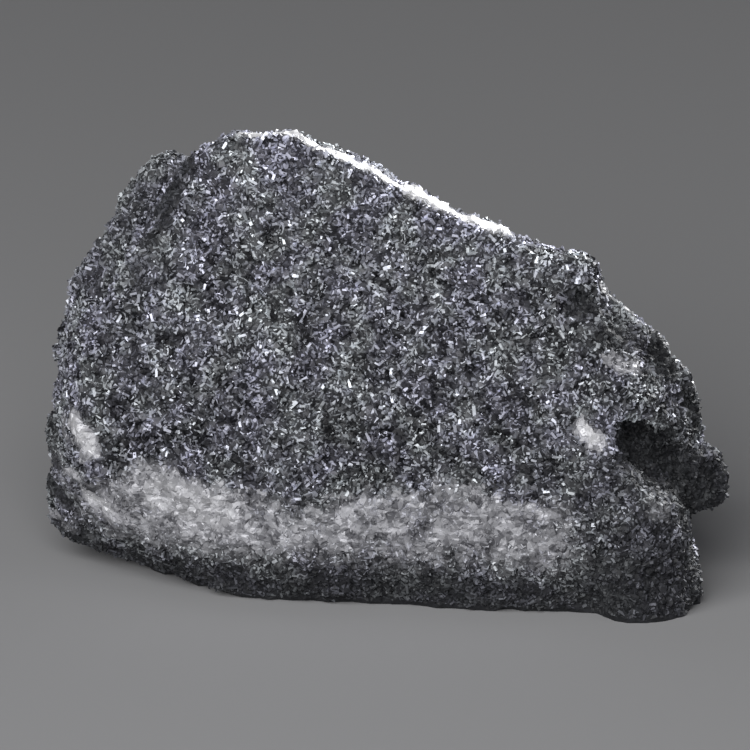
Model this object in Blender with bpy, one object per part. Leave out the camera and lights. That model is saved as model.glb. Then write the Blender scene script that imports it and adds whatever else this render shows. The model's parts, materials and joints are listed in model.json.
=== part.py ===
"""A specimen of native tellurium: one broken, fine-grained lump of the silvery element.

The lump is one natural piece. It is 45 mm wide and stands on a small flat on its underside, with a
broad, nearly flat front face that leans back to a sharp ridge. +X is to the right, -Y is to the front
and +Z is up. Corners below are in millimetres, and the mesh is in metres.
"""

import bmesh
import bpy
from mathutils import Vector, noise

MM = 0.001

# The broad front face is one plane. It leans back as it rises and comes forward to the right.
FACE_FRONT = -10.5
FACE_LEVEL = 8.5
FACE_LEAN = 0.26
FACE_TURN = -0.12

# The ridge on top of the face falls evenly from the peak to the lump at its right end. A narrow,
# almost level ledge runs behind it.
PEAK_X = -6.0
PEAK_HEIGHT = 31.2
RIDGE_DROP = 0.43
LEDGE_DEPTH = 2.0
LEDGE_DROP = 0.25

# The belly is the line where the face ends and the undercut starts.
BELLY_HEIGHT = 8.7
UNDERCUT_HEIGHT = 3.4

# The underside goes this far below the resting plane before it is cut off flat there.
BELOW_REST = -1.4

# The skin: broad swells, tilted blocks at the back, crystal facets, and fine crumbs. Sizes are
# across, tilts and heights are how far each stands out. The spread is large enough to give each
# cell a lean of its own.
SWELL_SIZE = 6.5
SWELL_HEIGHT = 0.35
BLOCK_SIZE = 5.2
BLOCK_TILT = 0.34
FACET_SIZE = 1.9
FACET_TILT = 0.42
LEAN_SPREAD = 61.0
CRUMB_SIZE = 1.3
CRUMB_HEIGHT = 0.16
CALM_FACE = 0.45

# Where the skin changes. A surface turns calm as its direction comes to agree with the broad face,
# the blocks grow over this stretch from front to back, and what looks straight down stays plain.
FACE_AGREEMENT = (0.85, 0.95)
BLOCKS_GROW = (-4.0, 2.0)
LOOKS_DOWN = (0.8, 0.95)

# The grid that the joined blocks are remade on, and the number of triangles that are kept.
SKIN_GRID = 0.42
SKIN_SOFTENING = 3
KEPT_TRIANGLES = 9000

METAL_GREY = (0.36, 0.36, 0.38, 1.0)


def on_face(x, z, inset=0.0):
    """The point of the broad front face at width x and height z, moved back by an inset."""
    return (x, FACE_FRONT + FACE_TURN * x + FACE_LEAN * (z - FACE_LEVEL) + inset, z)


def ridge_height(x):
    """The height of the ridge at width x."""
    return PEAK_HEIGHT - RIDGE_DROP * max(0.0, x - PEAK_X)


def behind_ridge(x):
    """The back corner of the ledge behind the ridge at width x."""
    _, y, z = on_face(x, ridge_height(x))
    return (x, y + LEDGE_DEPTH, z - LEDGE_DROP)


def main_mass():
    """The body of the lump: front face, ledge behind the ridge, sloping back and undercut foot."""
    face = [
        on_face(-9.6, PEAK_HEIGHT),
        on_face(-5.8, ridge_height(-5.8)),
        on_face(1.0, ridge_height(1.0)),
        on_face(12.4, ridge_height(12.4)),
        on_face(14.1, 20.6),
        on_face(15.2, 16.5),
        on_face(15.2, 9.0),
        on_face(-12.0, 30.1),
        on_face(-13.7, 28.2),
        on_face(-16.9, 22.0),
        on_face(-19.6, 17.0),
        on_face(-20.5, 12.4),
    ]
    belly = [
        (-20.3, -6.3, 9.6),
        on_face(-18.2, BELLY_HEIGHT, 0.6),
        on_face(-5.6, BELLY_HEIGHT - 0.8),
        on_face(7.5, BELLY_HEIGHT),
        on_face(15.0, BELLY_HEIGHT - 0.6),
    ]
    undercut = [
        (-20.6, -1.4, UNDERCUT_HEIGHT + 0.4),
        (-18.1, -3.7, UNDERCUT_HEIGHT + 0.1),
        (-15.5, -5.7, UNDERCUT_HEIGHT - 0.3),
        (-12.2, -7.6, UNDERCUT_HEIGHT - 0.4),
        (-5.6, -9.2, UNDERCUT_HEIGHT),
        (0.9, -9.9, UNDERCUT_HEIGHT + 0.5),
        (13.4, -11.4, UNDERCUT_HEIGHT - 0.2),
    ]
    left_end = [
        (-21.6, -0.6, 15.0),
        (-22.2, 0.2, 10.5),
        (-22.4, 0.8, 4.6),
        (-22.0, 1.8, 2.6),
        (-20.6, 0.9, 1.9),
        (-18.0, -0.3, 1.2),
        (-20.6, 5.2, 13.0),
        (-20.8, 6.4, 4.0),
    ]
    back_of_ridge = [
        behind_ridge(-9.6),
        behind_ridge(-5.8),
        behind_ridge(1.0),
        behind_ridge(12.4),
    ]
    back = [
        (-14.5, 3.2, 23.0),
        (-5.0, 4.6, 21.5),
        (6.0, 3.4, 18.5),
        (-12.5, 9.2, 11.0),
        (-2.0, 11.2, 8.5),
        (9.0, 10.0, 7.5),
        (16.5, 5.0, 8.5),
        (-15.5, 8.6, 2.4),
        (-4.0, 11.0, 1.2),
        (10.0, 10.2, 1.4),
        (17.6, 4.0, 2.0),
    ]
    rest = [
        (-7.6, -5.4, BELOW_REST),
        (2.0, -6.3, BELOW_REST),
        (13.4, -8.4, BELOW_REST),
        (15.4, 1.0, BELOW_REST),
        (9.0, 8.0, BELOW_REST),
        (-5.0, 9.2, BELOW_REST),
        (-14.0, 5.4, BELOW_REST),
        (-12.4, -0.6, BELOW_REST),
    ]
    return face + belly + undercut + left_end + back_of_ridge + back + rest


def left_shelf():
    """The step behind the upper left edge of the face."""
    return [
        (-12.4, -2.6, 28.9),
        (-13.8, -0.8, 29.1),
        (-15.7, -1.0, 28.5),
        (-16.9, -0.6, 26.7),
        (-17.8, -0.4, 24.0),
        (-19.9, 0.0, 20.2),
        (-18.8, -2.6, 20.4),
        (-16.2, -3.0, 24.6),
        (-12.0, 1.6, 26.0),
        (-17.0, 3.4, 20.6),
        (-18.8, 3.0, 18.0),
        (-12.0, -2.0, 20.0),
        (-10.5, 2.6, 22.0),
    ]


def left_end_lump():
    """The rounded swelling of the left end below the shelf."""
    return [
        (-19.9, -0.2, 20.6),
        (-20.6, -0.2, 19.0),
        (-21.5, 0.0, 16.4),
        (-21.7, 0.2, 13.2),
        (-20.2, -4.8, 15.8),
        (-19.4, -4.8, 18.6),
        (-20.6, -4.6, 12.0),
        (-19.6, 3.6, 16.2),
        (-20.4, 4.2, 11.0),
        (-16.0, -3.0, 18.6),
        (-16.0, 3.0, 14.0),
        (-16.0, -4.0, 11.0),
    ]


def ridge_lump():
    """The low lump that ends the ridge, with a sheer right side."""
    return [
        on_face(9.8, 24.2, 0.2),
        on_face(11.6, 24.2, -0.1),
        on_face(13.4, 23.8, -0.2),
        on_face(13.9, 21.8, -0.1),
        on_face(11.2, 21.8, -0.1),
        (10.2, -5.4, 23.4),
        (13.4, -5.9, 23.4),
        (13.9, -5.2, 21.2),
        (11.0, -4.6, 20.5),
    ]


def right_shoulder():
    """The rough shoulder right of the face, which falls back to a thin crest on top."""
    crest = [
        (13.4, -7.2, 21.9),
        (14.0, -6.8, 21.4),
        (17.0, -6.0, 18.4),
        (20.0, -4.3, 14.6),
        (20.5, -3.6, 12.7),
        (19.2, -3.0, 10.2),
    ]
    front = [
        on_face(13.2, 19.6, 0.2),
        (15.4, -9.7, 16.6),
        (17.6, -8.5, 14.2),
        (19.0, -7.2, 12.2),
        (19.0, -6.0, 10.6),
        (20.0, -4.8, 5.6),
        (17.5, -8.4, 4.6),
        (13.0, -9.4, 5.0),
    ]
    back = [
        (13.0, -3.6, 20.6),
        (17.0, -3.2, 17.4),
        (19.8, -1.6, 13.2),
        (19.6, 1.4, 8.8),
        (19.8, 1.6, 3.0),
        (15.0, 1.6, 15.6),
        (13.0, 4.0, 3.0),
    ]
    return crest + front + back


def bright_ledge():
    """The small ledge that juts from the shoulder beside the face."""
    return [
        on_face(13.4, 17.5, -0.1),
        on_face(15.9, 17.1, -0.1),
        (16.9, -8.4, 16.8),
        (15.8, -7.4, 17.5),
        (13.4, -7.4, 17.9),
        on_face(13.4, 13.4, 0.1),
        on_face(15.9, 14.4, 0.3),
        (17.0, -6.4, 14.0),
        (13.4, -5.4, 13.4),
    ]


def knob():
    """The blunt knob that sticks out at the right, over the notch."""
    return [
        (19.2, -5.9, 9.4),
        (20.7, -4.6, 9.6),
        (22.1, -3.9, 9.1),
        (22.7, -3.9, 7.3),
        (22.4, -4.4, 5.8),
        (20.8, -5.3, 5.4),
        (19.2, -5.9, 6.0),
        (20.2, -1.0, 9.4),
        (22.4, -1.8, 7.8),
        (21.6, -1.2, 5.7),
        (18.6, -1.0, 5.4),
    ]


def right_foot():
    """The heavy lower right corner, which reaches furthest forward and rests on its own toe."""
    brow = [
        on_face(13.2, 12.4, 0.1),
        on_face(15.2, 10.8, 0.1),
        on_face(16.9, 9.2, 0.3),
        (18.4, -11.4, 8.2),
        (19.4, -9.6, 7.2),
        (19.0, -5.0, 6.4),
        (13.0, -5.0, 11.0),
    ]
    front = [
        on_face(13.0, BELLY_HEIGHT),
        on_face(17.0, 7.4),
        (19.0, -10.8, 5.0),
        (19.4, -8.2, 3.6),
        (20.4, -8.0, 1.9),
        (20.6, -7.4, 0.7),
    ]
    toe = [
        (14.8, -10.5, BELOW_REST),
        (17.0, -11.0, BELOW_REST),
        (19.2, -10.2, BELOW_REST),
        (20.1, -8.0, BELOW_REST),
        (19.8, -4.4, BELOW_REST),
        (12.0, -4.0, BELOW_REST),
        (20.2, -2.6, 2.4),
        (14.4, -12.0, 3.0),
    ]
    return brow + front + toe


def back_slab():
    """A slab on the left of the back, one step above the slope."""
    return [
        (-13.4, 2.4, 26.2),
        (-7.6, 3.0, 25.4),
        (-4.4, 6.6, 20.0),
        (-5.6, 10.6, 12.0),
        (-8.6, 11.6, 8.4),
        (-15.6, 9.4, 11.0),
        (-17.6, 5.0, 19.0),
        (-12.0, -1.0, 24.0),
        (-6.4, -1.0, 23.0),
        (-7.0, 4.0, 8.0),
        (-14.0, 3.0, 10.0),
    ]


def back_step():
    """A low step along the foot of the back."""
    return [
        (-1.0, 11.4, 9.8),
        (7.6, 10.0, 10.6),
        (14.8, 8.0, 7.6),
        (15.8, 8.4, 3.0),
        (8.0, 12.4, 4.2),
        (-1.6, 13.4, 4.6),
        (-4.4, 12.2, 7.2),
        (-3.6, 12.4, 1.4),
        (8.0, 11.4, 1.0),
        (13.6, 9.0, 1.2),
        (0.0, 5.0, 6.0),
        (12.0, 3.0, 5.0),
    ]


def back_rib():
    """A slanting rib of blocky metal between the slab and the right end of the back."""
    return [
        (-1.0, -0.6, 26.6),
        (2.6, -0.8, 25.6),
        (5.6, 4.6, 19.4),
        (9.0, 6.2, 15.0),
        (7.0, 8.8, 12.4),
        (3.4, 7.8, 15.4),
        (0.0, 4.4, 21.0),
        (0.0, -3.0, 24.0),
        (6.0, 2.0, 14.0),
    ]


def flake(upper_left, lower_right, width, height):
    """A leaf of metal that stands out of the low left end along a slanting line."""
    out = Vector((-0.45, -0.75, -0.35)).normalized()
    start = Vector(upper_left)
    end = Vector(lower_right)
    across = (end - start).normalized().cross(out)
    corners = []
    for along, fullness in ((0.0, 0.5), (0.35, 1.0), (0.75, 0.9), (1.0, 0.3)):
        crest = start.lerp(end, along)
        corners.append(crest + out * height * fullness + across * width * 0.2)
        corners.append(crest + across * width * 0.5 * fullness)
        corners.append(crest - across * width * 0.5 * fullness)
        corners.append(crest - out * 1.5)
    return corners


LEFT_FLAKES = (
    ((-21.0, -4.8, 12.2), (-18.6, -7.6, 9.0), 2.6, 0.9),
    ((-21.4, -2.8, 9.6), (-19.4, -5.4, 7.6), 1.7, 0.8),
    ((-20.9, -3.4, 7.2), (-16.6, -6.2, 4.6), 2.4, 1.0),
)


def cavity():
    """The deep dark hollow between the shoulder, the foot and the face."""
    return [
        (13.9, -14.0, 14.0),
        (16.0, -13.6, 14.4),
        (18.6, -11.0, 12.2),
        (20.6, -9.0, 10.4),
        (20.4, -9.6, 8.0),
        (18.4, -13.0, 8.0),
        (16.4, -14.0, 9.6),
        (13.9, -14.0, 11.8),
        (14.8, -7.8, 13.2),
        (16.8, -5.4, 12.4),
        (19.0, -4.4, 9.9),
        (18.6, -4.6, 8.2),
        (16.0, -6.8, 10.0),
    ]


def pit(mouth, width, height, depth, slant=0.0, facing=-1.0):
    """A hollow with an uneven six-sided mouth that narrows inwards, open to the front or the back."""
    x, y, z = mouth
    mouth_spread = 1.15
    throat_spread = 0.55
    clear_of_surface = 1.5
    rim = ((-0.5, 0.1), (-0.15, 0.5), (0.4, 0.45), (0.5, -0.2), (0.1, -0.5), (-0.4, -0.35))
    corners = []
    for side, level in rim:
        across = side * width
        up = level * height + slant * across
        outer = (x + mouth_spread * across, y + clear_of_surface * facing, z + mouth_spread * up)
        inner = (x + throat_spread * across, y - depth * facing, z + throat_spread * up)
        corners += [outer, inner]
    return corners


PITS = {
    "lump_hole": pit(on_face(12.5, 21.4), 2.1, 1.2, 1.7, slant=-0.1),
    "ledge_crack": pit(on_face(15.2, 18.7), 3.4, 0.9, 2.2, slant=-0.15),
    "upper_crest_pit": pit((17.5, -7.3, 16.9), 1.8, 1.5, 2.4, slant=-0.6),
    "lower_crest_pit": pit((19.8, -5.8, 13.0), 1.5, 2.1, 2.2, slant=-0.8),
    "left_notch": pit((-22.2, -1.6, 6.2), 2.4, 1.6, 2.0, slant=-0.3),
    "shelf_pit": pit((-17.4, -2.6, 23.6), 1.3, 1.6, 1.4, slant=0.6),
    "high_back_pit": pit((-9.6, 3.6, 25.2), 3.0, 1.8, 1.6, slant=0.4, facing=1.0),
    "middle_back_pit": pit((-1.6, 8.8, 13.8), 3.6, 2.2, 1.8, slant=-0.5, facing=1.0),
    "low_back_pit": pit((10.6, 10.4, 6.4), 3.2, 2.0, 1.8, slant=0.3, facing=1.0),
}


def shelf_groove():
    """The groove between the upper left edge of the face and the shelf."""
    return [
        (-13.4, -6.0, 29.6),
        (-14.4, -5.4, 29.2),
        (-16.8, -6.0, 23.6),
        (-15.9, -6.8, 23.6),
        (-13.6, -2.4, 28.0),
        (-15.6, -2.6, 24.2),
    ]


def knob_notch():
    """The notch between the knob and the foot."""
    return [
        (19.7, -11.0, 6.3),
        (23.0, -9.0, 6.4),
        (23.0, -9.0, 4.2),
        (20.3, -11.0, 4.8),
        (20.2, -4.6, 5.5),
        (23.0, -3.0, 5.3),
        (20.6, -4.4, 4.7),
        (23.0, -3.0, 4.4),
    ]


def back_scar():
    """A shell-shaped scar high on the right of the back."""
    return [
        (8.0, 0.0, 23.0),
        (13.6, 0.0, 20.0),
        (17.6, 4.0, 13.6),
        (12.6, 8.6, 11.6),
        (10.4, 9.0, 15.0),
        (8.0, 6.0, 20.0),
        (11.0, -0.6, 18.6),
        (13.6, 1.6, 14.0),
    ]


def hull(name, corners):
    """A closed block with flat sides round a set of corners."""
    bm = bmesh.new()
    for corner in corners:
        bm.verts.new(Vector(corner) * MM)
    bmesh.ops.convex_hull(bm, input=bm.verts)
    inner = [vertex for vertex in bm.verts if not vertex.link_faces]
    bmesh.ops.delete(bm, geom=inner, context="VERTS")
    bmesh.ops.recalc_face_normals(bm, faces=bm.faces)
    mesh = bpy.data.meshes.new(name)
    bm.to_mesh(mesh)
    bm.free()
    block = bpy.data.objects.new(name, mesh)
    bpy.context.scene.collection.objects.link(block)
    return block


def combine(target, corners, operation, name):
    """Join a block to the target, or cut it away, with a live Boolean."""
    helper = hull(name, corners)
    helper.hide_render = True
    helper.display_type = "WIRE"
    boolean = target.modifiers.new(name, "BOOLEAN")
    boolean.operation = operation
    boolean.solver = "EXACT"
    boolean.object = helper
    return helper


def settle_modifiers(target):
    """Replace the target's mesh by its evaluated one, and drop the modifiers."""
    depsgraph = bpy.context.evaluated_depsgraph_get()
    settled = bpy.data.meshes.new_from_object(target.evaluated_get(depsgraph))
    target.modifiers.clear()
    target.data = settled


def facet_height(place, size, tilt):
    """How far a tilted facet stands out: space is split in cells, each with its own flat plane."""
    _, centres = noise.voronoi(place / size)
    centre = centres[0]
    lean = noise.cell_vector(centre * LEAN_SPREAD) - Vector((0.5, 0.5, 0.5))
    return tilt * size * lean.dot(place / size - centre)


def ramp(value, start, end):
    """How far a value has gone from start to end, from 0 to 1."""
    return min(1.0, max(0.0, (value - start) / (end - start)))


def skin_height(place, normal):
    """The height of the natural surface over the plain blocks, in millimetres."""
    face_normal = Vector((FACE_TURN, -1.0, FACE_LEAN)).normalized()
    on_broad_face = ramp(normal.dot(face_normal), *FACE_AGREEMENT)
    calm = 1.0 - (1.0 - CALM_FACE) * on_broad_face
    at_the_back = ramp(place.y, *BLOCKS_GROW)
    off_the_underside = 1.0 - ramp(-normal.z, *LOOKS_DOWN)
    swells = SWELL_HEIGHT * noise.noise(place / SWELL_SIZE)
    facets = facet_height(place, FACET_SIZE, FACET_TILT)
    crumbs = CRUMB_HEIGHT * noise.fractal(place / CRUMB_SIZE, 1.0, 2.0, 2)
    blocks = at_the_back * facet_height(place, BLOCK_SIZE, BLOCK_TILT)
    return off_the_underside * (calm * (swells + facets + crumbs) + blocks)


def roughen(target):
    """Give the smooth remade surface its swells, facets and crumbs."""
    bm = bmesh.new()
    bm.from_mesh(target.data)
    bm.normal_update()
    moves = [vertex.normal * skin_height(vertex.co / MM, vertex.normal) * MM for vertex in bm.verts]
    for vertex, move in zip(bm.verts, moves):
        vertex.co += move
    bm.to_mesh(target.data)
    bm.free()


def cut_flat(target):
    """Cut the underside off at the resting plane and close the cut with flat faces."""
    bm = bmesh.new()
    bm.from_mesh(target.data)
    everything = bm.verts[:] + bm.edges[:] + bm.faces[:]
    bmesh.ops.bisect_plane(bm, geom=everything, plane_co=(0, 0, 0), plane_no=(0, 0, 1), clear_inner=True)
    rim = [edge for edge in bm.edges if edge.is_boundary]
    bmesh.ops.holes_fill(bm, edges=rim, sides=0)
    bmesh.ops.recalc_face_normals(bm, faces=bm.faces)
    bmesh.ops.triangulate(bm, faces=bm.faces)
    bm.to_mesh(target.data)
    bm.free()


def centre_on_footprint(target):
    """Move the mesh so that the middle of its box is over the origin."""
    xs = [vertex.co.x for vertex in target.data.vertices]
    ys = [vertex.co.y for vertex in target.data.vertices]
    middle = Vector(((min(xs) + max(xs)) / 2, (min(ys) + max(ys)) / 2, 0.0))
    for vertex in target.data.vertices:
        vertex.co -= middle


def metal(name):
    """Silvery grey tellurium."""
    material = bpy.data.materials.new(name)
    material.use_nodes = True
    shader = material.node_tree.nodes["Principled BSDF"]
    shader.inputs["Base Color"].default_value = METAL_GREY
    shader.inputs["Metallic"].default_value = 0.8
    shader.inputs["Roughness"].default_value = 0.35
    return material


def build_specimen():
    """Join the blocks, cut the hollows, and make the natural surface."""
    stone = hull("tellurium", main_mass())
    joined = {
        "left_shelf": left_shelf(),
        "left_end_lump": left_end_lump(),
        "ridge_lump": ridge_lump(),
        "right_shoulder": right_shoulder(),
        "bright_ledge": bright_ledge(),
        "knob": knob(),
        "right_foot": right_foot(),
        "back_slab": back_slab(),
        "back_step": back_step(),
        "back_rib": back_rib(),
    }
    for number, numbers in enumerate(LEFT_FLAKES):
        joined[f"flake_{number}"] = flake(*numbers)
    cut = {
        "cavity": cavity(),
        "shelf_groove": shelf_groove(),
        "knob_notch": knob_notch(),
        "back_scar": back_scar(),
    }
    cut.update(PITS)
    helpers = [combine(stone, corners, "UNION", name) for name, corners in joined.items()]
    helpers += [combine(stone, corners, "DIFFERENCE", name) for name, corners in cut.items()]

    remesh = stone.modifiers.new("even_grid", "REMESH")
    remesh.mode = "VOXEL"
    remesh.voxel_size = SKIN_GRID * MM
    soften = stone.modifiers.new("soften", "SMOOTH")
    soften.iterations = SKIN_SOFTENING
    settle_modifiers(stone)
    for helper in helpers:
        bpy.data.objects.remove(helper)

    roughen(stone)
    thin = stone.modifiers.new("fewer_faces", "DECIMATE")
    triangles = sum(len(face.vertices) - 2 for face in stone.data.polygons)
    thin.ratio = KEPT_TRIANGLES / triangles
    settle_modifiers(stone)
    cut_flat(stone)
    centre_on_footprint(stone)
    stone.data.materials.clear()
    stone.data.materials.append(metal("native_tellurium"))
    return stone


for old in list(bpy.data.objects):
    bpy.data.objects.remove(old)
build_specimen()
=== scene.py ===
"""A specimen of native tellurium under soft light: a lump crusted all over with bright broken grains."""

import json
import math

import bpy
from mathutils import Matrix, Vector

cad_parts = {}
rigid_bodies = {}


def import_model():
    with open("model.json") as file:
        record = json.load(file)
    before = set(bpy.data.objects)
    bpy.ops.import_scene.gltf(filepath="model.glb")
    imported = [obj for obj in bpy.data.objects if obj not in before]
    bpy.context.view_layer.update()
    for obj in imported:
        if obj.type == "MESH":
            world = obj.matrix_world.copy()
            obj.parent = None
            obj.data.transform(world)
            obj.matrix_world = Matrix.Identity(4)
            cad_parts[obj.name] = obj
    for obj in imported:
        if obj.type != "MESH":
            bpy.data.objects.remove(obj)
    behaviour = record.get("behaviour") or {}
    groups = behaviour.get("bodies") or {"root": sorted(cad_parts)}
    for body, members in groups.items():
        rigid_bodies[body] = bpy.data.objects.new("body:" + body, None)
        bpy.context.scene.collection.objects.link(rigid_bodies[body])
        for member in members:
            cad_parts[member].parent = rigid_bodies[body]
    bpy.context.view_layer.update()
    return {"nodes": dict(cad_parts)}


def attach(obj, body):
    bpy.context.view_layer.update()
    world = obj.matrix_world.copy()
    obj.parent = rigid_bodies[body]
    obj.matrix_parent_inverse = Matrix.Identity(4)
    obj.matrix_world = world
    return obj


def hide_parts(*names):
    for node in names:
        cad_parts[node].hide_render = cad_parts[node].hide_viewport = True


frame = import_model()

MM = 0.001

# The skin is remade on a fine grid, broken into tilted grains, and thinned to this many triangles.
SKIN_GRID = 0.13 * MM
SKIN_SOFTENING = 2
SKIN_TRIANGLES = 190_000

# The grains of the skin, and the dark gaps between them.
GRAIN_SIZE = 0.46 * MM
GRAIN_TILT = 0.55
GRAIN_STEP = 0.05 * MM
GAP_WIDTH = 0.10
GAP_DEPTH = 0.07 * MM

# The slivers of metal that crust the skin: their usual width, their closest spacing, how deep they
# sit in it, how far each may stand up out of it, and how much their sizes differ.
SLIVER_WIDTH = 0.19 * MM
SLIVER_SPACING = 0.176 * MM
SLIVER_DENSITY = 5.0e7
SLIVER_SINK = (0.01 * MM, 0.10 * MM)
SLIVER_RISE = math.radians(18.0)
SLIVER_SCALES = (0.6, 1.35)
LOWEST_SLIVER = 0.4 * MM

# The pale undercut band along the front, a painted reflection of the pale floor on finer grains, in
# millimetres: its lower and upper edge, where it fades at the left, at the right and at the back, and
# where its upper edge rises or dips: middle, reach and rise.
BAND_LOW = 4.1
BAND_HIGH = 8.5
BAND_LEFT = -19.0
BAND_RIGHT = 12.6
BAND_BACK = -1.5
BAND_WAVES = ((-5.4, 3.6, -1.2), (4.0, 4.5, 0.8), (-14.2, 3.6, 1.0))

# Strokes on the surface, each from one point to another, with its reach and its strength.
# Painted light: pale flakes and patches where the surface would catch the lamp or mirror the floor.
PALE_LIGHT_STROKES = {
    "upper_left_flake": ((-20.4, -6.6, 12.6), (-19.3, -7.6, 10.6), 0.95, 1.0),
    "flake_corner": ((-21.2, -5.0, 11.6), (-20.4, -6.4, 10.6), 0.7, 0.8),
    "left_streak": ((-21.4, -3.4, 8.9), (-20.0, -5.7, 8.0), 0.6, 0.9),
    "short_streak": ((-18.8, -7.4, 8.7), (-17.5, -8.0, 8.0), 0.5, 0.8),
    "lower_left_flake": ((-19.5, -5.5, 6.9), (-17.0, -6.8, 5.4), 1.1, 1.0),
    "band_end": ((-15.6, -8.3, 8.4), (-10.0, -9.0, 6.6), 2.0, 1.0),
    "thin_lip": ((-22.0, 0.0, 3.6), (-20.8, -1.2, 2.7), 0.7, 0.8),
    "shoulder_ledge": ((14.9, -9.9, 17.5), (16.7, -9.8, 16.8), 0.9, 0.8),
    "beside_the_hollow": ((12.6, -11.2, 13.6), (13.6, -11.4, 12.4), 0.7, 1.0),
    "over_the_toe": ((17.4, -12.5, 8.2), (18.2, -12.1, 7.7), 0.8, 0.5),
}
# Painted shade: darker in the hollow, the pits, the groove and notches, on the shelf, the knob, the toe and
# the right end, where shade falls.
SHADE_STROKES = {
    "right_end": ((14.6, -7.6, 19.6), (19.4, -5.8, 12.6), 3.2, 0.45),
    "hollow_floor": ((15.4, -8.8, 10.4), (19.4, -6.4, 8.6), 3.0, 1.0),
    "hollow_roof": ((14.6, -8.0, 12.4), (17.6, -6.8, 11.4), 2.0, 0.95),
    "hollow_lip": ((15.4, -11.5, 10.6), (18.0, -10.8, 8.8), 1.4, 0.9),
    "knob": ((20.4, -5.0, 7.2), (22.4, -4.0, 7.2), 3.2, 1.0),
    "lump_hole": ((12.0, -8.2, 21.4), (13.0, -8.8, 20.9), 1.2, 0.95),
    "ledge_crack": ((14.2, -9.0, 19.0), (17.0, -7.4, 18.2), 1.2, 0.9),
    "upper_crest_pit": ((17.0, -5.6, 17.4), (18.2, -6.5, 15.6), 1.3, 1.0),
    "lower_crest_pit": ((19.4, -5.2, 13.8), (20.2, -4.6, 11.6), 1.5, 0.95),
    "knob_notch": ((19.0, -10.2, 7.2), (20.0, -7.0, 5.6), 1.7, 0.95),
    "toe": ((15.4, -12.2, 1.0), (19.6, -11.0, 2.0), 5.4, 0.9),
    "foot_side": ((17.0, -12.6, 6.0), (20.0, -8.0, 5.0), 2.6, 0.6),
    "foot_top": ((13.8, -12.0, 9.2), (18.0, -11.8, 6.6), 3.0, 0.4),
    "left_notch": ((-22.2, -0.4, 6.2), (-21.0, -2.0, 5.4), 1.2, 0.95),
    "left_edge": ((-22.4, -1.6, 12.0), (-22.0, -1.2, 7.0), 1.5, 0.5),
    "shelf_notch": ((-19.3, -2.2, 20.6), (-18.6, -2.4, 20.0), 0.8, 0.9),
    "shelf_groove": ((-12.8, -3.2, 29.0), (-14.9, -4.6, 25.2), 0.9, 0.95),
    "groove_end": ((-14.9, -4.6, 25.2), (-16.2, -5.5, 21.6), 0.8, 0.7),
    "shelf": ((-14.6, -1.6, 28.0), (-19.2, -1.4, 20.6), 2.2, 0.4),
}
# Painted highlight: near-white strokes along the ridge and crest where the lamp behind glints, and on
# flakes and the band.
HIGHLIGHT_STROKES = {
    "peak": ((-9.6, -3.3, 31.0), (-5.4, -3.8, 31.0), 0.5, 1.0),
    "ridge": ((-5.4, -3.8, 30.9), (1.8, -5.4, 27.7), 0.6, 1.0),
    "ridge_end": ((1.8, -5.2, 27.7), (7.6, -6.5, 25.4), 1.0, 1.0),
    "upper_crest": ((14.2, -6.7, 21.4), (17.9, -5.2, 17.8), 0.6, 0.7),
    "lower_crest": ((17.9, -5.2, 17.8), (20.3, -4.0, 13.7), 0.5, 0.7),
    "upper_flake": ((-20.2, -6.8, 12.2), (-19.4, -7.6, 10.8), 0.6, 0.45),
    "lower_flake": ((-19.4, -5.6, 6.9), (-18.2, -6.3, 6.4), 0.7, 0.45),
    "hollow_edge": ((12.8, -11.2, 13.3), (13.5, -11.4, 12.5), 0.4, 0.45),
    "band_glow": ((-14.6, -8.4, 7.8), (-11.0, -8.9, 6.8), 1.6, 0.25),
}

# The crust is made in four parts, split at the middle and where the back starts.
BACK_STARTS = -1.5 * MM

# The camera looks straight at the broad face from a little above, through a long lens.
VIEW_RISE = math.radians(18.0)
VIEW_DISTANCE = 1.0
VIEW_WIDTH = 49.2 * MM
VIEW_TARGET = (-0.72 * MM, 0.0, 13.25 * MM)
SENSOR_WIDTH = 36.0


class Value:
    """An output of a node, which takes part in sums like a number."""

    def __init__(self, board, socket):
        self.board = board
        self.socket = socket

    def also(self, name):
        """Another output of the same node."""
        return Value(self.board, self.socket.node.outputs[name])

    def math(self, operation, *others):
        return self.board.add("ShaderNodeMath", {"operation": operation}, dict(enumerate((self,) + others)))

    def __add__(self, other):
        return self.math("ADD", other)

    def __sub__(self, other):
        return self.math("SUBTRACT", other)

    def __mul__(self, other):
        return self.math("MULTIPLY", other)

    def __truediv__(self, other):
        return self.math("DIVIDE", other)

    def __rsub__(self, other):
        return self.board.add("ShaderNodeMath", {"operation": "SUBTRACT"}, {0: other, 1: self})

    __radd__ = __add__
    __rmul__ = __mul__

    def at_most(self, other):
        return self.math("MINIMUM", other)

    def at_least(self, other):
        return self.math("MAXIMUM", other)

    def power(self, other):
        return self.math("POWER", other)

    def size(self):
        """The value without its sign."""
        return self.math("ABSOLUTE")

    def above(self, other):
        """True where this value is above the other."""
        settings = {"operation": "GREATER_THAN"}
        return self.board.add("FunctionNodeCompare", settings, {0: self, 1: other})

    def ramp(self, start, end, low=0.0, high=1.0):
        """Low before start, high past end, and a smooth rise between."""
        settings = {"interpolation_type": "SMOOTHSTEP"}
        inputs = {"Value": self, "From Min": start, "From Max": end, "To Min": low, "To Max": high}
        return self.board.add("ShaderNodeMapRange", settings, inputs)


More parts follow.
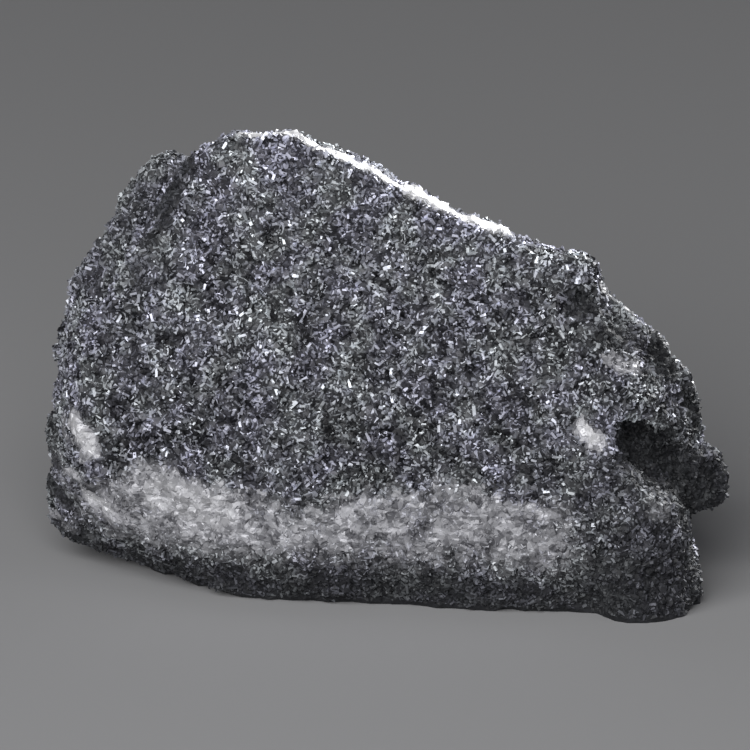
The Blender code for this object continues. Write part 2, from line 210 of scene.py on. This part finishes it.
class Board:
    """A node tree that is filled one node at a time."""

    def __init__(self, tree):
        self.tree = tree

    def add(self, kind, settings=None, inputs=None, output=0):
        """A new node with its settings made first, then its inputs given as numbers or values."""
        node = self.tree.nodes.new(kind)
        for name, setting in (settings or {}).items():
            setattr(node, name, setting)
        for name, given in (inputs or {}).items():
            if isinstance(given, Value):
                self.tree.links.new(given.socket, node.inputs[name])
            else:
                node.inputs[name].default_value = given
        return Value(self, node.outputs[output]) if node.outputs else node

    def vector(self, operation, first, second):
        output = 1 if operation in ("DOT_PRODUCT", "LENGTH", "DISTANCE") else 0
        return self.add("ShaderNodeVectorMath", {"operation": operation}, {0: first, 1: second}, output)

    def scaled(self, vector, factor):
        settings = {"operation": "SCALE"}
        return self.add("ShaderNodeVectorMath", settings, {0: vector, "Scale": factor})

    def parts(self, vector):
        across = self.add("ShaderNodeSeparateXYZ", {}, {0: vector})
        return across, across.also(1), across.also(2)

    def noise(self, place, size, detail=2.0):
        """Soft noise from 0 to 1 whose swells are about this size."""
        inputs = {"Vector": place, "Scale": 1.0 / size, "Detail": detail}
        return self.add("ShaderNodeTexNoise", {}, inputs)

    def cells(self, place, size, feature="F1"):
        """Space split in cells of about this size."""
        settings = {"feature": feature}
        return self.add("ShaderNodeTexVoronoi", settings, {"Vector": place, "Scale": 1.0 / size})

    def blend(self, factor, first, second):
        """A colour that goes from the first to the second as the factor goes from 0 to 1."""
        settings = {"data_type": "RGBA"}
        return self.add("ShaderNodeMix", settings, {0: factor, 6: first, 7: second}, 2)

    def tinted(self, colour, tint):
        """A colour seen through a tint."""
        settings = {"data_type": "RGBA", "blend_type": "MULTIPLY"}
        return self.add("ShaderNodeMix", settings, {0: 1.0, 6: colour, 7: tint}, 2)

    def chance(self, low, high, seed):
        """A number of its own for each point."""
        inputs = {2: low, 3: high, "Seed": seed}
        return self.add("FunctionNodeRandomValue", {"data_type": "FLOAT"}, inputs, 1)

    def both(self, first, second):
        return self.add("FunctionNodeBooleanMath", {"operation": "AND"}, {0: first, 1: second})

    def flipped(self, value):
        return self.add("FunctionNodeBooleanMath", {"operation": "NOT"}, {0: value})

    def right(self, place):
        return self.parts(place)[0].above(0.0)

    def left(self, place):
        return self.flipped(self.right(place))

    def back(self, place):
        return self.parts(place)[1].above(BACK_STARTS)

    def front(self, place):
        return self.flipped(self.back(place))

    def stroke(self, place, start, end, reach, strength):
        """A soft stroke from one point to another: its strength along the middle, none past its reach."""
        along = (Vector(end) - Vector(start)) * MM
        from_start = self.vector("SUBTRACT", place, Vector(start) * MM)
        share = self.vector("DOT_PRODUCT", from_start, along / along.length_squared)
        nearest = self.scaled(along, share.at_least(0.0).at_most(1.0))
        distance = self.vector("DISTANCE", from_start, nearest)
        return distance.ramp(0.55 * reach * MM, reach * MM, strength, 0.0)

    def strokes(self, place, table, raggedness):
        """The strongest of several strokes at each place, with ragged edges."""
        inputs = {"Vector": place, "Scale": 1.0 / (0.8 * MM)}
        ragged = self.add("ShaderNodeTexNoise", {}, inputs, "Color")
        shift = self.scaled(self.vector("SUBTRACT", ragged, (0.5, 0.5, 0.5)), raggedness * MM)
        shifted = self.vector("ADD", place, shift)
        strongest = None
        for numbers in table.values():
            found = self.stroke(shifted, *numbers)
            strongest = found if strongest is None else strongest.at_least(found)
        return strongest


def painted_reflection(board, place):
    """How pale the surface is painted: a painted reflection of the floor along the undercut band at the
    front, where the grains are also finer, and painted light on some flakes.
    """
    across, depth, height = (part * (1.0 / MM) for part in board.parts(place))
    upper_edge = BAND_HIGH + 1.6 * (board.noise(place, 2.6 * MM) - 0.5)
    for middle, reach, rise in BAND_WAVES:
        upper_edge = upper_edge + (across - middle).size().ramp(0.0, reach, rise, 0.0)
    ragged = height + 2.4 * (board.noise(place, 0.6 * MM) - 0.5)
    below = (upper_edge - ragged).ramp(-0.5, 0.5)
    above = (ragged + 2.0 * (board.noise(place, 3.4 * MM) - 0.5)).ramp(BAND_LOW - 1.5, BAND_LOW + 1.5)
    before = depth.ramp(BAND_BACK - 2.0, BAND_BACK + 2.0, 1.0, 0.0)
    wavy = across + 4.0 * (board.noise(place, 1.5 * MM) - 0.5)
    left_of_foot = wavy.ramp(BAND_RIGHT - 2.5, BAND_RIGHT + 1.0, 1.0, 0.0)
    right_of_end = wavy.ramp(BAND_LEFT - 1.5, BAND_LEFT + 1.5, 0.3, 1.0)
    patchy = board.noise(place, 2.0 * MM, 4.0).ramp(0.30, 0.62, 0.45, 1.0)
    band = above * below * before * left_of_foot * right_of_end * patchy
    return band.at_least(board.strokes(place, PALE_LIGHT_STROKES, 1.6))


def painted_shade(board, place):
    """Painted shade: a painted shadow in the strip under the pale band, and painted shade in the hollow, on
    the knob and the toe, and in the pits.
    """
    height = board.parts(place)[2] * (1.0 / MM) + 2.2 * (board.noise(place, 2.4 * MM) - 0.5)
    # Painted shadow: darker towards the bottom, where the lump meets the floor.
    strip = height.ramp(1.8, 4.4, 0.88, 0.0)
    return strip.at_least(board.strokes(place, SHADE_STROKES, 1.6))


def painted_highlight(board, place):
    """Where a painted highlight is brightest: along the ridge, the crest and on flakes."""
    return board.strokes(place, HIGHLIGHT_STROKES, 0.5)


# The painted reflection, painted shade and painted highlight, kept on the surface by name.
MARKS = {"pale": painted_reflection, "dark": painted_shade, "fresh": painted_highlight}


def with_marks(board, geometry, place, domain, tone):
    """The geometry with the marks of its surface kept on it, and the tone of each grain."""
    kept = {name: mark(board, place) for name, mark in MARKS.items()}
    kept["tone"] = tone
    for name, value in kept.items():
        settings = {"data_type": "FLOAT", "domain": domain}
        inputs = {"Geometry": geometry, "Name": name, "Value": value}
        geometry = board.add("GeometryNodeStoreNamedAttribute", settings, inputs)
    return geometry


def select_only(piece):
    """Make one object the selected and active one."""
    bpy.ops.object.select_all(action="DESELECT")
    piece.select_set(True)
    bpy.context.view_layer.objects.active = piece


def apply_modifiers(piece):
    select_only(piece)
    for modifier in list(piece.modifiers):
        bpy.ops.object.modifier_apply(modifier=modifier.name)


def node_modifier(piece, name):
    """A new node modifier on a piece, and the board to fill it on."""
    tree = bpy.data.node_groups.new(name, "GeometryNodeTree")
    tree.interface.new_socket("Geometry", in_out="INPUT", socket_type="NodeSocketGeometry")
    tree.interface.new_socket("Geometry", in_out="OUTPUT", socket_type="NodeSocketGeometry")
    modifier = piece.modifiers.new(name, "NODES")
    modifier.node_group = tree
    board = Board(tree)
    return board, board.add("NodeGroupInput")


def broken_grains(piece):
    """Tilt the skin's surface grain by grain, and sink the gaps between them."""
    board, geometry = node_modifier(piece, "broken_grains")
    place = board.add("GeometryNodeInputPosition")
    outward = board.add("GeometryNodeInputNormal")
    cell = board.cells(place, GRAIN_SIZE)
    lean = board.vector("SUBTRACT", cell.also("Color"), (0.5, 0.5, 0.5))
    from_middle = board.vector("SUBTRACT", place, cell.also("Position"))
    tilt = board.vector("DOT_PRODUCT", lean, from_middle) * (2.0 * GRAIN_TILT)
    step = (board.parts(lean)[0]) * (2.0 * GRAIN_STEP)
    edge = board.cells(place, GRAIN_SIZE, "DISTANCE_TO_EDGE")
    gap = edge.ramp(0.0, GAP_WIDTH, -GAP_DEPTH, 0.0)
    calm = 1.0 - (0.5 * painted_reflection(board, place)).at_least(0.7 * painted_highlight(board, place))
    above_rest = board.parts(place)[2].ramp(0.05 * MM, 0.5 * MM)
    height = (tilt + step + gap) * calm * above_rest
    offset = board.scaled(outward, height)
    moved = board.add("GeometryNodeSetPosition", {}, {"Geometry": geometry, "Offset": offset})
    board.add("NodeGroupOutput", {}, {0: moved})


def metal_skin():
    """The lump's own surface, remade fine enough to carry its grains."""
    select_only(frame["nodes"]["tellurium"])
    bpy.ops.object.duplicate()
    skin = bpy.context.active_object
    skin.name = "metal_skin"
    skin.parent = None
    bpy.ops.object.mode_set(mode="EDIT")
    bpy.ops.mesh.select_all(action="SELECT")
    bpy.ops.mesh.remove_doubles(threshold=0.001 * MM)
    bpy.ops.object.mode_set(mode="OBJECT")
    fine = skin.modifiers.new("fine_grid", "REMESH")
    fine.mode = "VOXEL"
    fine.voxel_size = SKIN_GRID
    soften = skin.modifiers.new("soften", "SMOOTH")
    soften.iterations = SKIN_SOFTENING
    broken_grains(skin)
    apply_modifiers(skin)
    triangles = sum(len(face.vertices) - 2 for face in skin.data.polygons)
    thin = skin.modifiers.new("fewer_faces", "DECIMATE")
    thin.ratio = SKIN_TRIANGLES / triangles
    apply_modifiers(skin)
    return skin


def sliver(name, sides, length, flatness, seed):
    """A short rod of metal with flat sides and uneven broken ends, lying along X."""
    bpy.ops.mesh.primitive_cylinder_add(
        vertices=sides,
        radius=SLIVER_WIDTH / 2,
        depth=SLIVER_WIDTH * length,
        end_fill_type="NGON",
    )
    grain = bpy.context.active_object
    grain.name = name
    bpy.ops.object.mode_set(mode="EDIT")
    bpy.ops.mesh.select_all(action="SELECT")
    quarter = {"value": math.pi / 2, "orient_axis": "Y", "center_override": (0, 0, 0)}
    bpy.ops.transform.rotate(**quarter)
    bpy.ops.transform.resize(value=(1.0, 1.0, flatness))
    bpy.ops.transform.vertex_random(offset=0.16 * SLIVER_WIDTH, seed=seed, normal=0.0)
    bpy.ops.mesh.quads_convert_to_tris()
    bpy.ops.object.mode_set(mode="OBJECT")
    return grain


def sliver_collection():
    """The few sliver shapes that the crust repeats."""
    shapes = {
        "long_sliver": (3, 2.6, 0.9, 3),
        "short_sliver": (3, 1.8, 1.1, 5),
        "square_sliver": (4, 1.9, 0.9, 8),
        "flat_chip": (4, 1.3, 0.8, 11),
        "stubby_chip": (3, 1.2, 1.3, 14),
    }
    collection = bpy.data.collections.new("sliver_shapes")
    bpy.context.scene.collection.children.link(collection)
    for name, measures in shapes.items():
        grain = sliver(name, *measures)
        grain.users_collection[0].objects.unlink(grain)
        collection.objects.link(grain)
    return collection


def crust(name, skin, shapes, chosen):
    """Slivers half sunk in one part of the skin, joined in one mesh."""
    piece = bpy.data.objects.new(name, bpy.data.meshes.new(name))
    bpy.context.scene.collection.objects.link(piece)
    board, _ = node_modifier(piece, name)
    ground = board.add("GeometryNodeObjectInfo", {}, {"Object": skin}, "Geometry")
    place = board.add("GeometryNodeInputPosition")
    settings = {"distribute_method": "POISSON"}
    inputs = {"Mesh": ground, "Distance Min": SLIVER_SPACING, "Density Max": SLIVER_DENSITY}
    points = board.add("GeometryNodeDistributePointsOnFaces", settings, inputs)
    outward = points.also("Normal")
    high_enough = board.parts(place)[2].above(LOWEST_SLIVER)
    rough = (1.0 - painted_highlight(board, place)).above(0.3)
    kept = board.both(board.both(high_enough, rough), chosen(board, place))
    here = board.add("GeometryNodeSeparateGeometry", {}, {"Geometry": points, "Selection": kept})
    size = board.chance(*SLIVER_SCALES, seed=2) * (1.0 - 0.4 * painted_reflection(board, place))
    sink = board.scaled(outward, size * board.chance(*SLIVER_SINK, seed=3) * -1.0)
    sunk = board.add("GeometryNodeSetPosition", {}, {"Geometry": here, "Offset": sink})
    inputs = {0: (0.0, -SLIVER_RISE, 0.0), 1: (math.tau, SLIVER_RISE, math.tau), "Seed": 4}
    turn = board.add("FunctionNodeRandomValue", {"data_type": "FLOAT_VECTOR"}, inputs)
    inputs = {"Rotation": points.also("Rotation"), "Rotate By": turn}
    lying = board.add("FunctionNodeRotateRotation", {"rotation_space": "LOCAL"}, inputs)
    inputs = {"Collection": shapes, "Separate Children": True, "Reset Children": True}
    slivers = board.add("GeometryNodeCollectionInfo", {}, inputs)
    inputs = {"Points": sunk, "Instance": slivers, "Pick Instance": True, "Rotation": lying, "Scale": size}
    standing = board.add("GeometryNodeInstanceOnPoints", {}, inputs)
    marked = with_marks(board, standing, place, "INSTANCE", board.chance(0.0, 1.0, seed=5))
    joined = board.add("GeometryNodeRealizeInstances", {}, {"Geometry": marked})
    board.add("NodeGroupOutput", {}, {0: joined})
    apply_modifiers(piece)
    return piece


def mark_skin(skin):
    """Keep the marks on the skin's faces, and the tone of the grain that each belongs to."""
    board, geometry = node_modifier(skin, "marks")
    place = board.add("GeometryNodeInputPosition")
    grain = board.cells(place, GRAIN_SIZE).also("Color")
    marked = with_marks(board, geometry, place, "FACE", board.parts(grain)[1])
    board.add("NodeGroupOutput", {}, {0: marked})
    apply_modifiers(skin)


def native_metal(name, darkest, brightest):
    """Broken tellurium: bright silver grains, tinted by tarnish, with a painted floor reflection along the
    undercut, painted shade and painted highlights.
    """
    material = bpy.data.materials.new(name)
    material.use_nodes = True
    material.node_tree.nodes.clear()
    board = Board(material.node_tree)
    place = board.add("ShaderNodeTexCoord", output="Object")
    tone, pale, dark, fresh = (
        board.add("ShaderNodeAttribute", {"attribute_name": mark}, output="Fac")
        for mark in ("tone", "pale", "dark", "fresh")
    )
    cluster = board.parts(board.cells(place, 0.6 * MM).also("Color"))[0] - 0.5
    swirl = board.noise(place, 1.5 * MM, 3.0) - 0.5
    swell = board.noise(place, 5.0 * MM, 2.0) - 0.5
    # Painted light: the grains are a little lighter towards the top.
    height_for_top_light = board.parts(place)[2] * (1.0 / MM) - 16.0
    mottled = tone * 0.8 + cluster * 0.6 + swirl * 0.8 + swell * 0.5 + height_for_top_light * 0.008 + 0.1
    mottled = mottled.at_least(0.0).at_most(1.0)
    silver = board.blend(mottled, (*darkest, 1), (*brightest, 1))
    cloud = board.noise(place, 2.6 * MM, 3.0).ramp(0.36, 0.64)
    tarnish = board.blend(cloud, (0.95, 0.94, 1.05, 1), (0.97, 1.0, 0.98, 1))
    metal = board.tinted(silver, tarnish)
    # The colour of the painted floor reflection on the band's finer grains.
    fine = board.blend(tone * 0.7 + cluster * 0.5 + 0.1, (0.13, 0.13, 0.145, 1), (0.76, 0.76, 0.80, 1))
    reflected = board.blend(pale, metal, fine)
    # Painted highlight: near-white where the highlight mark is strong.
    highlighted = board.blend(fresh, reflected, (0.93, 0.93, 0.95, 1))
    # Painted shade: nearly black where the painted shade mark is strong.
    colour = board.blend(dark * 0.93, highlighted, (0.014, 0.015, 0.018, 1))

    inputs = {
        "Base Color": colour,
        "Metallic": 0.52 - 0.2 * pale - 0.4 * dark,
        "Roughness": 0.44 + 0.12 * board.noise(place, 0.9 * MM) + 0.08 * pale + 0.15 * dark,
    }
    shader = board.add("ShaderNodeBsdfPrincipled", {}, inputs)
    board.add("ShaderNodeOutputMaterial", {}, {"Surface": shader})
    return material


def wear(piece, material):
    piece.data.materials.clear()
    piece.data.materials.append(material)
    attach(piece, "root")


def soft_light(name, place, aim, width, height, power):
    """A flat lamp that lights evenly from its whole width and height."""
    lamp = bpy.data.lights.new(name, "AREA")
    lamp.shape = "RECTANGLE"
    lamp.size = width
    lamp.size_y = height
    lamp.energy = power
    holder = bpy.data.objects.new(name, lamp)
    bpy.context.scene.collection.objects.link(holder)
    holder.location = place
    holder.rotation_euler = (Vector(aim) - Vector(place)).to_track_quat("-Z", "Y").to_euler()
    return holder


def studio(pieces):
    """A pale floor, three soft lamps, and a dim even room. The lamp behind lights the lump alone."""
    bpy.ops.object.select_all(action="DESELECT")
    bpy.ops.mesh.primitive_circle_add(vertices=96, radius=1.6, fill_type="NGON")
    floor = bpy.context.active_object
    floor.name = "floor"
    paint = bpy.data.materials.new("pale_floor")
    paint.use_nodes = True
    shader = paint.node_tree.nodes["Principled BSDF"]
    shader.inputs["Base Color"].default_value = (0.46, 0.46, 0.47, 1)
    shader.inputs["Roughness"].default_value = 0.9
    floor.data.materials.append(paint)

    middle = (0.0, 0.0, 0.012)
    soft_light("key_lamp", (-0.14, -0.46, 0.30), middle, 0.50, 0.40, 3.0)
    soft_light("fill_lamp", (0.34, -0.24, 0.20), middle, 0.20, 0.20, 0.12)
    rim = soft_light("rim_lamp", (0.24, 0.24, 0.26), middle, 0.16, 0.10, 2.8)
    lit = bpy.data.collections.new("lit_by_the_rim_lamp")
    for piece in pieces:
        lit.objects.link(piece)
    rim.light_linking.receiver_collection = lit

    room = bpy.data.worlds.new("room")
    room.use_nodes = True
    backdrop = room.node_tree.nodes["Background"]
    backdrop.inputs["Color"].default_value = (0.55, 0.57, 0.62, 1)
    backdrop.inputs["Strength"].default_value = 0.03
    bpy.context.scene.world = room


def photo_camera():
    lens = bpy.data.cameras.new("camera")
    lens.sensor_width = SENSOR_WIDTH
    lens.lens = SENSOR_WIDTH * VIEW_DISTANCE / VIEW_WIDTH
    lens.clip_start = 0.01
    lens.clip_end = 10.0
    camera = bpy.data.objects.new("camera", lens)
    bpy.context.scene.collection.objects.link(camera)
    back = Vector((0.0, -math.cos(VIEW_RISE), math.sin(VIEW_RISE)))
    camera.location = Vector(VIEW_TARGET) + back * VIEW_DISTANCE
    camera.rotation_euler = back.to_track_quat("Z", "Y").to_euler()
    bpy.context.scene.camera = camera


def build():
    skin = metal_skin()
    mark_skin(skin)
    shapes = sliver_collection()
    parts = {
        "front_left_crust": lambda board, place: board.both(board.left(place), board.front(place)),
        "front_right_crust": lambda board, place: board.both(board.right(place), board.front(place)),
        "back_left_crust": lambda board, place: board.both(board.left(place), board.back(place)),
        "back_right_crust": lambda board, place: board.both(board.right(place), board.back(place)),
    }
    crusts = [crust(name, skin, shapes, chosen) for name, chosen in parts.items()]
    for grain in list(shapes.objects):
        bpy.data.objects.remove(grain)
    bpy.data.collections.remove(shapes)
    # Painted shade: the skin that shows between and under the slivers is a darker copy of the slivers'
    # metal.
    wear(skin, native_metal("grey_metal", (0.012, 0.012, 0.014), (0.12, 0.12, 0.13)))
    bright = native_metal("bright_metal", (0.025, 0.025, 0.029), (0.86, 0.88, 0.94))
    for piece in crusts:
        wear(piece, bright)
    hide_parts("tellurium")
    return [skin] + crusts


studio(build())
photo_camera()
bpy.context.scene.view_settings.view_transform = "Standard"
